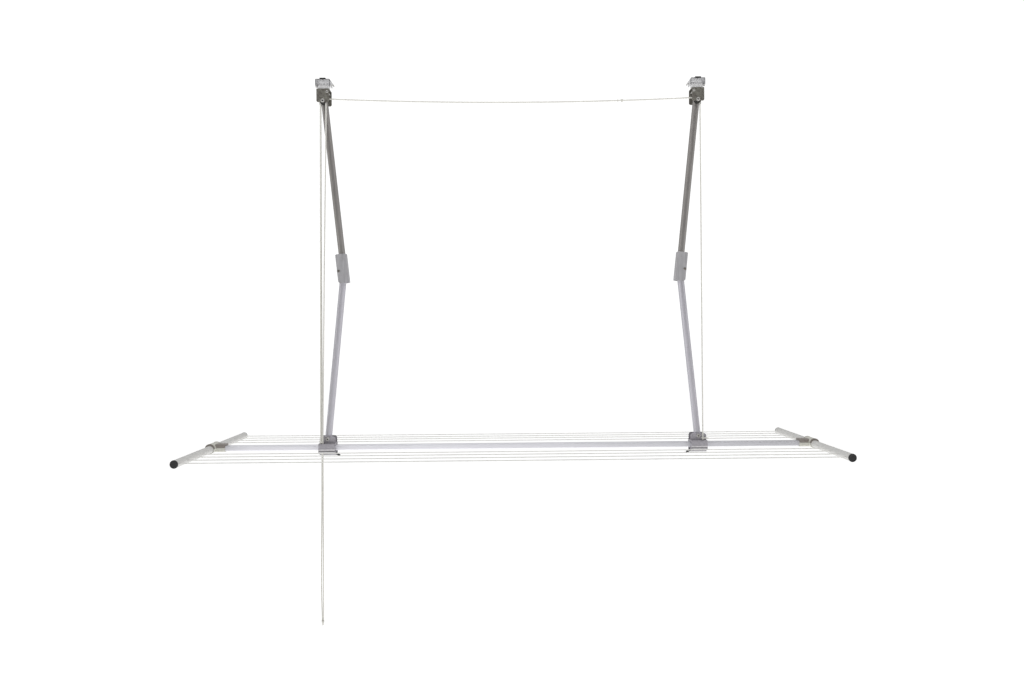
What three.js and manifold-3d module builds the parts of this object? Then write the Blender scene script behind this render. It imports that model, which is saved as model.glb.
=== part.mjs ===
// A ceiling mounted drying rack. Two brackets under the ceiling each carry a folding knee arm, and the arms
// carry a long frame strung with drying lines. Cords over the bracket sheaves lift the frame.
//
// Millimetres, +Z up. The origin is on the ceiling plane, midway between the two brackets. +X runs along the
// frame and +Y runs from the front to the back. Side pieces are shaped once, for the left side, with their own
// +X pointing inward to the middle of the frame, and are mirrored for the right side.

import * as THREE from 'three';
import { mergeVertices } from 'three/addons/utils/BufferGeometryUtils.js';
import Module from 'manifold-3d';

const wasm = await Module();
wasm.setup();

// ---------- driving dimensions ----------

const GAP = 0.3; // between pieces that touch
const SMOOTH = 24; // sides of a large round
const SMALL = 12; // sides of a small round

const BRACKET_X = 555; // arms and brackets, from the middle
const BAR_X = 900; // crossbars, from the middle
const UPPER_PIVOT_Z = -67;
const LOWER_PIVOT_Z = -1069;

const PAD = { width: 18, length: 54, thickness: 2.7 };
const CHANNEL = {
  width: 44, length: 52, top: -3, bottom: -22, wall: 2, wallFront: -24, wallBack: 8,
  screwY: 20.5, screwRadius: 2.8,
};
const HANGER = { y: -6.5, z: -17, radius: 6, halfLength: 17, pinRadius: 2.6, pinHead: 5, headHeight: 3, pinTip: 28 };
const NECK = { top: -20.5, topHalf: 16.5, footHalf: 14, halfDepth: 11 };
const STUD = { radius: 4.5, head: 7, headHeight: 2.5 };
const CLEVIS = {
  halfWidth: 18.3, front: -27, back: 13, top: -31, frontBottom: -71.5, backBottom: -73.5, wall: 2, round: 5,
};
const GUARD = { x: 13, z: -41, radius: 2.3 };
const PIVOT_RADIUS = 4;
const HEAD = {
  upper: { radius: 5.6, height: 2 },
  lower: { radius: 6, height: 2.2 },
  guard: { radius: 4, height: 2 },
  knee: { radius: 4.2, height: 1.2 },
  rivet: { radius: 3.6, height: 0.9 },
};

const CORD = { radius: 2, sides: 8 };
const SHEAVE = { cordRadius: 8, rim: 10.6, width: 5.8, rear: -15.6, front: -21.8 };

const TUBE = { radius: 10, wall: 1.4 };
const TILT = THREE.MathUtils.degToRad(5.9); // of each tube from upright
const KNEE_OFFSET = 13.5; // knee pin, from both tube axes
const HALF_DROP = (UPPER_PIVOT_Z - LOWER_PIVOT_Z) / 2;
const REACH = (HALF_DROP - KNEE_OFFSET * Math.sin(TILT)) / Math.cos(TILT); // end pivot to knee, along a tube
const KNEE = { above: 50, below: 37, web: 24.2, edge: 4.8, wall: 2, inside: 10.6, notch: 5, notchWidth: 5 };
const KNEE_PIN = { radius: 3 };
const KNEE_RIVET = { radius: 2.5, above: 34 };
const KNEE_LUG = { ear: 6.2, halfWidth: 8, plug: 24 };
const TUBE_STOP = { upper: 6.7, lower: 8, pivotEnd: 9.5, round: 11.5 }; // from the knee pin and the end pivot

const RAIL = { depth: 24, height: 15, z: -1095, wall: 1.6, round: 3, end: 882 };
const SADDLE = {
  halfWidth: 24.5, top: -1081, ledge: 5, lip: -27, lipWall: 2.4, lipBottom: -1110, rib: 1.2,
  ribs: [{ low: -1101.6, high: -1097 }, { low: -1108.6, high: -1104.6 }], skirt: 2.5, skirtBottom: -1099,
};
const PULL_SLOTS = [{ x: [-18.4, -6], y: [-19.4, -13.2] }, { x: [-14.8, 12], y: [-24.3, -19.4] }];
const EAR = { inner: 11, outer: 13, halfWidth: 23.5, top: -1060.5, round: 8 };
const JAW = { halfWidth: 24.5, bottom: -1116, flange: 12.9, wall: 2, roof: 2.2, hook: 15.1 };
const PRESS = { x: 16, z: -1110.5 }; // axle of a clamp lever
const LEVER = { halfWidth: 6, cam: 5.6, camLift: 1.6, axle: 1.6, axleHalf: 12.6, window: 7 };

const BAR = { z: -1095, radius: 11, wall: 1.4, halfLength: 277 };
const LINE = { radius: 1.5, first: 113, pitch: 50, count: 4, end: 896.5 };
const TEE = {
  ring: 14.5, rise: 2, halfRing: 28, depth: 31, top: -1081.5, bottom: -1104.5, round: 5, mouth: 40, back: 11,
};
const CAP = { radius: 11.2, plug: 12, depth: 2.7 };

// ---------- materials ----------

const paint = (color, roughness, metalness) => new THREE.MeshStandardMaterial({ color, roughness, metalness });
const LOOK = {
  rubber: paint('#161616', 0.8, 0),
  zinc: paint('#c9c8c6', 0.35, 0.9),
  castGrey: paint('#6f6964', 0.55, 0.5),
  steelPin: paint('#a9a6a0', 0.35, 0.9),
  upperArm: paint('#8f8c88', 0.4, 0.6),
  lowerArm: paint('#a9a7ad', 0.4, 0.6),
  kneeGrey: paint('#9b9b9d', 0.5, 0.3),
  clampGrey: paint('#9d99a0', 0.5, 0.4),
  railSilver: paint('#d6d5e0', 0.35, 0.7),
  barWhite: paint('#e9e8e4', 0.45, 0),
  teeCream: paint('#b9b2a4', 0.55, 0),
  black: paint('#121212', 0.5, 0),
  line: paint('#e8e8e4', 0.7, 0),
  cord: paint('#dcdad2', 0.8, 0),
  sheave: paint('#e4e2dc', 0.5, 0),
};

// ---------- solids ----------

/** A geometry with shared vertices and only positions, as booleans and mirroring need it. */
function bare(geometry) {
  geometry.deleteAttribute('normal');
  geometry.deleteAttribute('uv');
  return mergeVertices(geometry, 1e-4);
}

function toManifold(geometry) {
  const clean = bare(geometry.clone());
  return new wasm.Manifold(new wasm.Mesh({
    numProp: 3,
    vertProperties: new Float32Array(clean.attributes.position.array),
    triVerts: new Uint32Array(clean.index.array),
  }));
}

function toGeometry(manifold) {
  const mesh = manifold.getMesh();
  const geometry = new THREE.BufferGeometry();
  geometry.setAttribute('position', new THREE.BufferAttribute(new Float32Array(mesh.vertProperties), 3));
  geometry.setIndex(new THREE.BufferAttribute(new Uint32Array(mesh.triVerts), 1));
  return geometry;
}

const combine = (how) => (first, ...rest) =>
  toGeometry(rest.reduce((solid, next) => solid[how](toManifold(next)), toManifold(first)));
const join = combine('add');
const cut = combine('subtract');
const common = combine('intersect');

/** The same solid mirrored in X, with its faces still pointing out. */
function mirrorX(geometry) {
  const mirrored = bare(geometry.clone()).scale(-1, 1, 1);
  const index = mirrored.index.array;
  for (let i = 0; i < index.length; i += 3) [index[i + 1], index[i + 2]] = [index[i + 2], index[i + 1]];
  return mirrored;
}

const box = (x0, x1, y0, y1, z0, z1) =>
  new THREE.BoxGeometry(x1 - x0, y1 - y0, z1 - z0).translate((x0 + x1) / 2, (y0 + y1) / 2, (z0 + z1) / 2);

const AXIS_Y_TO = {
  x: new THREE.Matrix4().makeRotationZ(-Math.PI / 2),
  y: new THREE.Matrix4(),
  z: new THREE.Matrix4().makeRotationX(Math.PI / 2),
};

/** A round rod from low to high along an axis; the centre's other two coordinates are in at. */
function rod(axis, radius, low, high, at = {}, sides = SMALL) {
  const place = new THREE.Vector3(at.x ?? 0, at.y ?? 0, at.z ?? 0);
  place[axis] = (low + high) / 2;
  return new THREE.CylinderGeometry(radius, radius, high - low, sides).applyMatrix4(AXIS_Y_TO[axis])
    .translate(place.x, place.y, place.z);
}

/** A solid of revolution from [radius, position] pairs, low to high; it closes on its own axis. */
function turned(axis, profile, at = {}, sides = SMALL) {
  const points = profile.map(([radius, along]) => new THREE.Vector2(radius, along));
  return new THREE.LatheGeometry(points, sides).applyMatrix4(AXIS_Y_TO[axis])
    .translate(at.x ?? 0, at.y ?? 0, at.z ?? 0);
}

/** A pin along Y with a flat round head at each end, outside the two faces that it holds. */
function headedPin(radius, head, front, back, at) {
  const low = front - GAP;
  const high = back + GAP;
  const chamfer = 0.8;
  const flat = head.radius - chamfer;
  return turned('y', [
    [0, low - head.height], [flat, low - head.height], [head.radius, low - head.height + chamfer],
    [head.radius, low], [radius, low], [radius, high], [head.radius, high],
    [head.radius, high + head.height - chamfer], [flat, high + head.height], [0, high + head.height],
  ], at);
}

function polygon(points) {
  return new THREE.Shape(points.map(([x, y]) => new THREE.Vector2(x, y)));
}

/** A rectangle whose corners have their own radii: [lower left, lower right, upper right, upper left]. */
function roundedRect(x0, x1, y0, y1, radii) {
  const [ll, lr, ur, ul] = Array.isArray(radii) ? radii : [radii, radii, radii, radii];
  const shape = new THREE.Shape();
  shape.moveTo(x0 + ll, y0);
  shape.lineTo(x1 - lr, y0);
  if (lr) shape.absarc(x1 - lr, y0 + lr, lr, -Math.PI / 2, 0);
  shape.lineTo(x1, y1 - ur);
  if (ur) shape.absarc(x1 - ur, y1 - ur, ur, 0, Math.PI / 2);
  shape.lineTo(x0 + ul, y1);
  if (ul) shape.absarc(x0 + ul, y1 - ul, ul, Math.PI / 2, Math.PI);
  shape.lineTo(x0, y0 + ll);
  if (ll) shape.absarc(x0 + ll, y0 + ll, ll, Math.PI, 1.5 * Math.PI);
  return shape;
}

const CURVE_STEPS = 3;
const extrude = (shape, depth) =>
  new THREE.ExtrudeGeometry(shape, { depth, bevelEnabled: false, curveSegments: CURVE_STEPS });

/** A prism along X; the shape is drawn in (Y, Z). */
function prismX(shape, x0, x1) {
  const turn = new THREE.Matrix4().makeBasis(
    new THREE.Vector3(0, 1, 0), new THREE.Vector3(0, 0, 1), new THREE.Vector3(1, 0, 0));
  return extrude(shape, x1 - x0).applyMatrix4(turn).translate(x0, 0, 0);
}

/** A prism along Y; the shape is drawn in (X, Z). */
const prismY = (shape, y0, y1) => extrude(shape, y1 - y0).rotateX(Math.PI / 2).translate(0, y1, 0);

/** A smooth curve with the same number of steps between each two route points, so tight bends stay round. */
class RouteCurve extends THREE.CatmullRomCurve3 {
  getUtoTmapping(u) {
    return u;
  }
}

/** A cord: a tube along a smooth curve through the points of its route. */
function cordAlong(route, stepsBetween = 3) {
  const points = route.map(([x, y, z]) => new THREE.Vector3(x, y, z));
  const section = polygon(Array.from({ length: CORD.sides }, (_, i) => {
    const angle = (2 * Math.PI * i) / CORD.sides;
    return [CORD.radius * Math.cos(angle), CORD.radius * Math.sin(angle)];
  }));
  const extrudePath = new RouteCurve(points, false, 'centripetal');
  const steps = stepsBetween * (points.length - 1);
  return new THREE.ExtrudeGeometry(section, { steps, bevelEnabled: false, extrudePath });
}

// ---------- scene helpers ----------

const rack = new THREE.Group();
const SIDES = [{ name: 'left', inward: 1 }, { name: 'right', inward: -1 }];

function add(group, name, geometry, look) {
  const mesh = new THREE.Mesh(geometry, look);
  mesh.name = name;
  group.add(mesh);
}

/** Adds a side piece that is shaped for the left, mirrored where the side needs it. */
function addSide(group, side, name, geometry, look) {
  add(group, `${name}_${side.name}`, side.inward > 0 ? geometry : mirrorX(geometry), look);
}

// ---------- ceiling bracket ----------

const screwHoles = (radius) =>
  [-1, 1].map((end) => rod('z', radius, CHANNEL.bottom, 1, { y: end * CHANNEL.screwY }));

function ceilingPad() {
  const { width, length, thickness } = PAD;
  const strip = prismY(roundedRect(-width / 2, width / 2, -thickness, 0, 1.2), -length / 2, length / 2);
  return cut(strip, ...screwHoles(CHANNEL.screwRadius));
}

function ceilingChannel() {
  const { width, length, top, bottom, wall, wallFront, wallBack } = CHANNEL;
  const outside = roundedRect(-width / 2, width / 2, bottom, top, [0.9, 0.9, 3, 3]);
  const inside = roundedRect(-width / 2 + wall, width / 2 - wall, bottom - 1, top - wall, [0, 0, 1, 1]);
  const under = top - wall;
  return cut(
    prismY(outside, -length / 2, length / 2),
    prismY(inside, -length / 2 - 1, length / 2 + 1),
    box(-width, width, -length, wallFront, bottom - 1, under),
    box(-width, width, wallBack, length, bottom - 1, under),
    ...screwHoles(CHANNEL.screwRadius),
    rod('x', HANGER.pinRadius + GAP, -width, width, HANGER),
  );
}

/** The barrel in the channel, its neck, and the rivet that holds the pulley bracket's top plate. */
function hangerBlock() {
  const { y, z, radius, halfLength, pinRadius } = HANGER;
  const { top, topHalf, footHalf, halfDepth } = NECK;
  const plateTop = CLEVIS.top + GAP;
  const plateUnder = CLEVIS.top - CLEVIS.wall - GAP;
  const neck = polygon([[-footHalf, plateTop], [footHalf, plateTop], [topHalf, top], [-topHalf, top]]);
  return cut(
    join(
      rod('x', radius, -halfLength, halfLength, { y, z }, SMOOTH),
      prismY(neck, y - halfDepth, y + halfDepth),
      rod('z', STUD.radius, plateUnder - 1, plateTop + 1, { y }),
      rod('z', STUD.head, plateUnder - STUD.headHeight, plateUnder, { y }),
    ),
    rod('x', pinRadius + GAP, -CHANNEL.width, CHANNEL.width, HANGER),
  );
}

function hangerPin() {
  const { pinRadius, pinHead, headHeight, pinTip } = HANGER;
  const wallFace = -CHANNEL.width / 2 - GAP;
  const face = wallFace - headHeight;
  return turned('x', [
    [0, face], [pinHead - 1.4, face], [pinHead, face + 1.4], [pinHead, wallFace],
    [pinRadius, wallFace], [pinRadius, pinTip - 0.8], [pinRadius - 0.8, pinTip], [0, pinTip],
  ], HANGER);
}

function pulleyBracket() {
  const { halfWidth, front, back, top, frontBottom, backBottom, wall, round } = CLEVIS;
  const bend = roundedRect(front, back, backBottom, top, [0, 0, 3, 3]);
  const hollow = roundedRect(front + wall, back - wall, backBottom - 1, top - wall, [0, 0, 1, 1]);
  const outline = (bottom) => roundedRect(-halfWidth, halfWidth, bottom, top, [round, round, 0, 0]);
  const acrossY = [front - 1, back + 1];
  const plates = join(prismY(outline(frontBottom), front - 1, 0), prismY(outline(backBottom), -1, back + 1));
  return cut(
    common(prismX(bend, -halfWidth, halfWidth), plates),
    prismX(hollow, -halfWidth - 1, halfWidth + 1),
    rod('y', PIVOT_RADIUS + GAP, ...acrossY, { z: UPPER_PIVOT_Z }),
    rod('y', GUARD.radius + GAP, ...acrossY, GUARD),
    rod('z', STUD.radius + GAP, top - wall - 1, top + 1, { y: HANGER.y }),
  );
}

const upperPivotPin = () =>
  headedPin(PIVOT_RADIUS, HEAD.upper, CLEVIS.front, CLEVIS.back, { z: UPPER_PIVOT_Z });

const guardPin = () => headedPin(GUARD.radius, HEAD.guard, CLEVIS.front, CLEVIS.back, GUARD);

/** A grooved wheel that turns on the pivot pin; the groove's round bottom fits the cord. */
function sheave() {
  const { cordRadius, rim, width } = SHEAVE;
  const bore = PIVOT_RADIUS + GAP;
  const groove = CORD.radius + GAP;
  const half = width / 2;
  const arc = Array.from({ length: 5 }, (_, i) => {
    const angle = -Math.PI / 2 + (Math.PI * i) / 4;
    return [cordRadius - groove * Math.cos(angle), groove * Math.sin(angle)];
  });
  return turned('y', [
    [bore, -half], [rim - 0.2, -half], [rim, -half + 0.3], [rim, -groove], ...arc, [rim, groove],
    [rim, half - 0.3], [rim - 0.2, half], [bore, half], [bore, -half],
  ], {}, SMOOTH);
}

function buildCeilingBracket(side) {
  const group = new THREE.Group();
  group.position.x = -side.inward * BRACKET_X;
  addSide(group, side, 'ceiling_pad', ceilingPad(), LOOK.rubber);
  addSide(group, side, 'ceiling_channel', ceilingChannel(), LOOK.zinc);
  addSide(group, side, 'hanger_block', hangerBlock(), LOOK.zinc);
  addSide(group, side, 'hanger_pin', hangerPin(), LOOK.steelPin);
  addSide(group, side, 'pulley_bracket', pulleyBracket(), LOOK.castGrey);
  addSide(group, side, 'upper_pivot_pin', upperPivotPin(), LOOK.steelPin);
  addSide(group, side, 'guard_pin', guardPin(), LOOK.steelPin);
  rack.add(group);
}

function buildSheaves() {
  const places = [
    ['sheave_left_front', -BRACKET_X, SHEAVE.front],
    ['sheave_left_rear', -BRACKET_X, SHEAVE.rear],
    ['sheave_right', BRACKET_X, SHEAVE.rear],
  ];
  for (const [name, x, y] of places) {
    const wheel = new THREE.Group();
    wheel.position.set(x, y, UPPER_PIVOT_Z);
    add(wheel, name, sheave(), LOOK.black);
    rack.add(wheel);
  }
}

// ---------- knee arms ----------

/** A tube along Z with a cross hole at each height in holes. */
function armTube(low, high, holes) {
  return cut(
    rod('z', TUBE.radius, low, high, {}, SMOOTH),
    rod('z', TUBE.radius - TUBE.wall, low - 1, high + 1, {}, SMOOTH),
    ...holes.map(([z, radius]) => rod('y', radius, -TUBE.radius - 1, TUBE.radius + 1, { z })),
  );
}

/** The lower tube; its end is rounded about the pivot, so that it clears the rail bracket as it turns. */
function lowerTube() {
  const { pivotEnd, round, lower } = TUBE_STOP;
  const top = REACH - lower;
  const side = TUBE.radius + 1;
  return common(
    armTube(-pivotEnd, top, [[0, PIVOT_RADIUS + GAP]]),
    join(rod('y', round, -side, side, {}, SMOOTH), box(-side, side, -side, side, 0, top + 1)),
  );
}

/** The folded channel at the knee, in the upper arm's frame: the tube lies against its web. */
function kneeBracket() {
  const inner = -KNEE_OFFSET - KNEE.edge;
  const web = KNEE.web - KNEE_OFFSET;
  const outer = web + KNEE.wall;
  const top = -REACH + KNEE.above;
  const bottom = -REACH - KNEE.below;
  const skin = KNEE.inside + KNEE.wall;
  const outline = polygon([
    [inner, bottom + KNEE.notch], [inner + KNEE.notchWidth, bottom], [outer - 1, bottom], [outer, bottom + 1],
    [outer, top - 1], [outer - 1, top], [inner + 2.5, top], [inner, top - 2.5],
  ]);
  return cut(
    prismY(outline, -skin, skin),
    box(inner - 1, web, -KNEE.inside, KNEE.inside, bottom - 1, top + 1),
    rod('y', KNEE_PIN.radius + GAP, -skin - 1, skin + 1, { x: -KNEE_OFFSET, z: -REACH }),
    rod('y', KNEE_RIVET.radius + GAP, -skin - 1, skin + 1, { z: -REACH + KNEE_RIVET.above }),
  );
}

function kneePin() {
  const skin = KNEE.inside + KNEE.wall;
  return headedPin(KNEE_PIN.radius, HEAD.knee, -skin, skin, { x: -KNEE_OFFSET, z: -REACH });
}

function kneeRivet() {
  const skin = KNEE.inside + KNEE.wall;
  return headedPin(KNEE_RIVET.radius, HEAD.rivet, -skin, skin, { z: -REACH + KNEE_RIVET.above });
}

/** The fitting plugged into the lower tube's top, in the lower arm's frame; its ear turns on the knee pin. */
function kneeLug() {
  const { ear, halfWidth, plug } = KNEE_LUG;
  const shoulder = REACH - TUBE_STOP.lower + GAP; // just above the tube's end
  const side = TUBE.radius - 1;
  const block = roundedRect(-KNEE_OFFSET, side, shoulder, REACH - GAP, [0, 1, 4, 0]);
  return cut(
    join(
      prismY(block, -halfWidth, halfWidth),
      rod('y', ear, -halfWidth, halfWidth, { x: -KNEE_OFFSET, z: REACH }, SMOOTH),
      rod('z', TUBE.radius - TUBE.wall - GAP, shoulder - plug, shoulder + 1, {}, SMOOTH),
    ),
    rod('y', KNEE_PIN.radius + GAP, -halfWidth - 1, halfWidth + 1, { x: -KNEE_OFFSET, z: REACH }),
  );
}

function buildKneeArm(side) {
  const upper = new THREE.Group();
  upper.position.set(-side.inward * BRACKET_X, 0, UPPER_PIVOT_Z);
  upper.rotation.y = -side.inward * TILT;
  const stop = -REACH + TUBE_STOP.upper;
  const upperHoles = [[0, PIVOT_RADIUS + GAP], [-REACH + KNEE_RIVET.above, KNEE_RIVET.radius + GAP]];
  addSide(upper, side, 'upper_arm_tube', armTube(stop, TUBE_STOP.pivotEnd, upperHoles), LOOK.upperArm);
  addSide(upper, side, 'knee_bracket', kneeBracket(), LOOK.kneeGrey);
  addSide(upper, side, 'knee_pin', kneePin(), LOOK.steelPin);
  addSide(upper, side, 'knee_rivet', kneeRivet(), LOOK.steelPin);
  rack.add(upper);

  const lower = new THREE.Group();
  lower.position.set(-side.inward * BRACKET_X, 0, LOWER_PIVOT_Z);
  lower.rotation.y = side.inward * TILT;
  addSide(lower, side, 'lower_arm_tube', lowerTube(), LOOK.lowerArm);
  addSide(lower, side, 'knee_lug', kneeLug(), LOOK.kneeGrey);
  rack.add(lower);
}

// ---------- frame: rail, its brackets and clamps ----------

const RAIL_TOP = RAIL.z + RAIL.height / 2;
const RAIL_UNDER = RAIL.z - RAIL.height / 2;

function rail() {
  const section = (inset) => {
    const y = RAIL.depth / 2 - inset;
    const z = RAIL.height / 2 - inset;
    return roundedRect(-y, y, RAIL.z - z, RAIL.z + z, RAIL.round - inset / 2);
  };
  return cut(prismX(section(0), -RAIL.end, RAIL.end), prismX(section(RAIL.wall), -RAIL.end - 1, RAIL.end + 1));
}

/** The saddle over the rail: ears for the arm, a rear skirt, and a ribbed front lip over the pull cords. */
function railBracket() {
  const { halfWidth, top, ledge, lip, lipWall, lipBottom, rib, ribs, skirt, skirtBottom } = SADDLE;
  const half = RAIL.depth / 2 + GAP;
  const seat = RAIL_TOP + GAP;
  const profile = polygon([
    [lip, lipBottom], [lip + lipWall, lipBottom], [lip + lipWall, top - ledge], [-half, top - ledge],
    [-half, seat], [half, seat], [half, skirtBottom], [half + skirt, skirtBottom], [half + skirt, top],
    [lip + 3, top], [lip + 0.9, top - 0.9], [lip, top - 3],
  ]);
  const bars = ribs.map(({ low, high }) => box(-halfWidth, halfWidth, lip - rib, lip + 1, low, high));
  const earShape = roundedRect(-EAR.halfWidth, EAR.halfWidth, top - 1, EAR.top, [0, 0, EAR.round, EAR.round]);
  const bolt = { z: LOWER_PIVOT_Z };
  return cut(
    join(
      prismX(profile, -halfWidth, halfWidth),
      ...bars,
      prismY(earShape, -EAR.outer, -EAR.inner),
      prismY(earShape, EAR.inner, EAR.outer),
    ),
    rod('y', PIVOT_RADIUS + GAP, -EAR.outer - 1, EAR.outer + 1, bolt),
    ...PULL_SLOTS.map(({ x, y }) => box(...x, ...y, top - ledge - 1, top + 1)),
  );
}

const lowerPivotPin = () =>
  headedPin(PIVOT_RADIUS, HEAD.lower, -EAR.outer, EAR.outer, { z: LOWER_PIVOT_Z });

/** The tray under the rail that carries the clamp lever; its back wall hooks behind the saddle. */
function clampJaw() {
  const { halfWidth, bottom, flange, wall, hook } = JAW;
  const { window, axle } = LEVER;
  const roof = RAIL_UNDER - GAP;
  const under = roof - JAW.roof;
  const inside = flange - wall;
  const hookTop = SADDLE.top - 7;
  const tray = polygon([
    [-flange, bottom], [-inside, bottom], [-inside, under], [inside, under],
    [inside, bottom], [flange, bottom], [flange, under], [hook + wall, under],
    [hook + wall, hookTop], [hook, hookTop], [hook, roof], [-flange, roof],
  ]);
  return cut(
    prismX(tray, -halfWidth, halfWidth),
    box(PRESS.x - window, PRESS.x + window, -window, window, under - 1, roof + 1),
    rod('y', axle + GAP, -flange - 1, flange + 1, PRESS),
  );
}

/** A cam lever: its round cam presses on the rail through the tray's window, and its handle points inward. */
function clampLever() {
  const { x, z } = PRESS;
  const { halfWidth, cam, camLift, axle, axleHalf } = LEVER;
  const handle = polygon([
    [x, z - 3.2], [x + 16.5, z - 9.4], [x + 18.2, z - 9.2], [x + 18.4, z - 7.6], [x + 8, z - 1], [x, z + 3.5],
  ]);
  return join(
    prismY(handle, -halfWidth, halfWidth),
    rod('y', cam, -halfWidth, halfWidth, { x, z: z + camLift }),
    rod('y', axle, -axleHalf, axleHalf, { x, z }),
  );
}

function buildRailBracket(side) {
  const group = new THREE.Group();
  group.position.x = -side.inward * BRACKET_X;
  addSide(group, side, 'rail_bracket', railBracket(), LOOK.clampGrey);
  addSide(group, side, 'lower_pivot_pin', lowerPivotPin(), LOOK.steelPin);
  addSide(group, side, 'clamp_jaw', clampJaw(), LOOK.clampGrey);
  addSide(group, side, 'clamp_lever', clampLever(), LOOK.black);
  rack.add(group);
}

// ---------- frame: crossbars, fittings and drying lines ----------

/** Distances of the drying lines from the middle plane, front to back. */
const LINE_PLACES = [-1, 1].flatMap((sign) =>
  Array.from({ length: LINE.count }, (_, i) => sign * (LINE.first + i * LINE.pitch))).sort((a, b) => a - b);

function crossbar() {
  const hole = (y) => rod('x', LINE.radius + 0.4, 0, BAR.radius + 1, { y, z: BAR.z }, 12);
  return cut(
    rod('y', BAR.radius, -BAR.halfLength, BAR.halfLength, BAR, SMOOTH),
    rod('y', BAR.radius - BAR.wall, -BAR.halfLength - 1, BAR.halfLength + 1, BAR, SMOOTH),
    ...LINE_PLACES.map(hole),
  );
}

/** The fitting that joins the rail's end to a crossbar: a sleeve round the bar and a socket for the rail. */
function teeFitting() {
  const { ring, rise, halfRing, depth, top, bottom, round, mouth, back } = TEE;
  const socket = roundedRect(-depth / 2, depth / 2, bottom, top, round);
  const y = RAIL.depth / 2 + GAP;
  const z = RAIL.height / 2 + GAP;
  const cavity = roundedRect(-y, y, RAIL.z - z, RAIL.z + z, RAIL.round);
  return cut(
    join(rod('y', ring, -halfRing, halfRing, { z: BAR.z + rise }, SMOOTH), prismX(socket, back, mouth)),
    rod('y', BAR.radius + GAP, -halfRing - 1, halfRing + 1, BAR, SMOOTH),
    prismX(cavity, BAR_X - RAIL.end - 1, mouth + 1),
  );
}

/** A cap on a crossbar's end, shaped for the back end: a rounded disc and a plug. */
function endCap(end) {
  const face = BAR.halfLength + GAP;
  const plug = BAR.radius - BAR.wall - GAP;
  const { radius, plug: inside, depth } = CAP;
  const profile = [
    [0, face - inside], [plug - 0.6, face - inside], [plug, face - inside + 1], [plug, face],
    [radius, face], [radius, face + depth - 1.2], [radius - 0.8, face + depth - 0.3],
    [radius - 2.7, face + depth], [0, face + depth],
  ];
  const facing = end > 0 ? profile : profile.map(([radius, along]) => [radius, -along]).reverse();
  return turned('y', facing, { z: BAR.z }, SMOOTH);
}

function buildCrossbar(side) {
  const group = new THREE.Group();
  group.position.x = -side.inward * BAR_X;
  addSide(group, side, 'tee_fitting', teeFitting(), LOOK.teeCream);
  addSide(group, side, 'crossbar', crossbar(), LOOK.barWhite);
  add(group, `end_cap_${side.name}_front`, endCap(-1), LOOK.black);
  add(group, `end_cap_${side.name}_back`, endCap(1), LOOK.black);
  rack.add(group);
}

function buildLines() {
  LINE_PLACES.forEach((y, i) => {
    const line = rod('x', LINE.radius, -LINE.end, LINE.end, { y, z: BAR.z }, 10);
    add(rack, `drying_line_${i + 1}`, line, LOOK.line);
  });
}

// ---------- lift and pull cords ----------

/** Route points round the top of a sheave, from one side at axle height over to the other. */
function overSheave(x, y, from, to) {
  const pieces = Math.round(Math.abs(to - from) / (Math.PI / 8));
  return Array.from({ length: pieces + 1 }, (_, i) => {
    const angle = from + ((to - from) * i) / pieces;
    return [x + SHEAVE.cordRadius * Math.cos(angle), y, UPPER_PIVOT_Z + SHEAVE.cordRadius * Math.sin(angle)];
  });
}

const ANCHOR_Z = SADDLE.top + GAP; // where a lift cord ends on its rail bracket
const OUTER_X = BRACKET_X + SHEAVE.cordRadius;
const INNER_X = BRACKET_X - SHEAVE.cordRadius;
const LEAVES_Z = UPPER_PIVOT_Z - 0.8; // a run starts just below the stretch round its sheave
const CROSS_Z = UPPER_PIVOT_Z + SHEAVE.cordRadius;
const SAG = 12.5;
const TIP = { x: -573.8, y: -18, top: -1611, bottom: -1627 };

function liftRun(side, endX, y, endY) {
  const from = -side.inward * OUTER_X;
  const to = -side.inward * endX;
  return cordAlong([[from, y, LEAVES_Z], [(from + to) / 2, (y + endY) / 2, (LEAVES_Z + ANCHOR_Z) / 2],
    [to, endY, ANCHOR_Z]]);
}

/** Up round the right sheave, across under the ceiling with a slight sag, and over the left rear sheave. */
function crossCord() {
  const y = SHEAVE.rear;
  const hang = (x) => CROSS_Z - SAG * (1 - (x / BRACKET_X) ** 2);
  const span = [500, 400, 250, 100, -100, -250, -400, -500].map((x) => [x, y, hang(x)]);
  return cordAlong([
    ...overSheave(BRACKET_X, y, 0, Math.PI / 2), ...span, ...overSheave(-BRACKET_X, y, Math.PI / 2, Math.PI),
  ]);
}

/** From the left rear sheave down through the guide slot to the tip. */
const rearPullRoute = [
  [-OUTER_X, SHEAVE.rear, LEAVES_Z], [-566.8, -15.8, -570], [-570.4, -16.3, -1070], [-570.8, -17.2, -1110],
  [-573, -17.2, -1260], [-576, -17.1, -1430], [-576.8, -17.2, -1530], [-576, -17.6, -1590],
  [-575.9, -18, TIP.top + GAP],
];

/** Over the left front sheave and down through the guide slot to the tip. */
const frontPullRoute = [
  ...overSheave(-BRACKET_X, SHEAVE.front, Math.PI, 0),
  [-557.2, -21.3, -570], [-567.2, -20.6, -1070], [-567.6, -20.5, -1110],
  [-568.5, -20.2, -1260], [-569.8, -19.6, -1430], [-570.6, -19, -1530], [-571.2, -18.4, -1590],
  [-571.7, -18, TIP.top + GAP],
];

/** The small tapered tip that joins the two pull strands. */
function pullTip() {
  const { x, y, top, bottom } = TIP;
  return turned('z', [
    [0, bottom], [1.4, bottom], [2.4, bottom + 2], [4.4, top - 6], [4.6, top - 1], [4.3, top], [0, top],
  ], { x, y });
}

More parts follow.
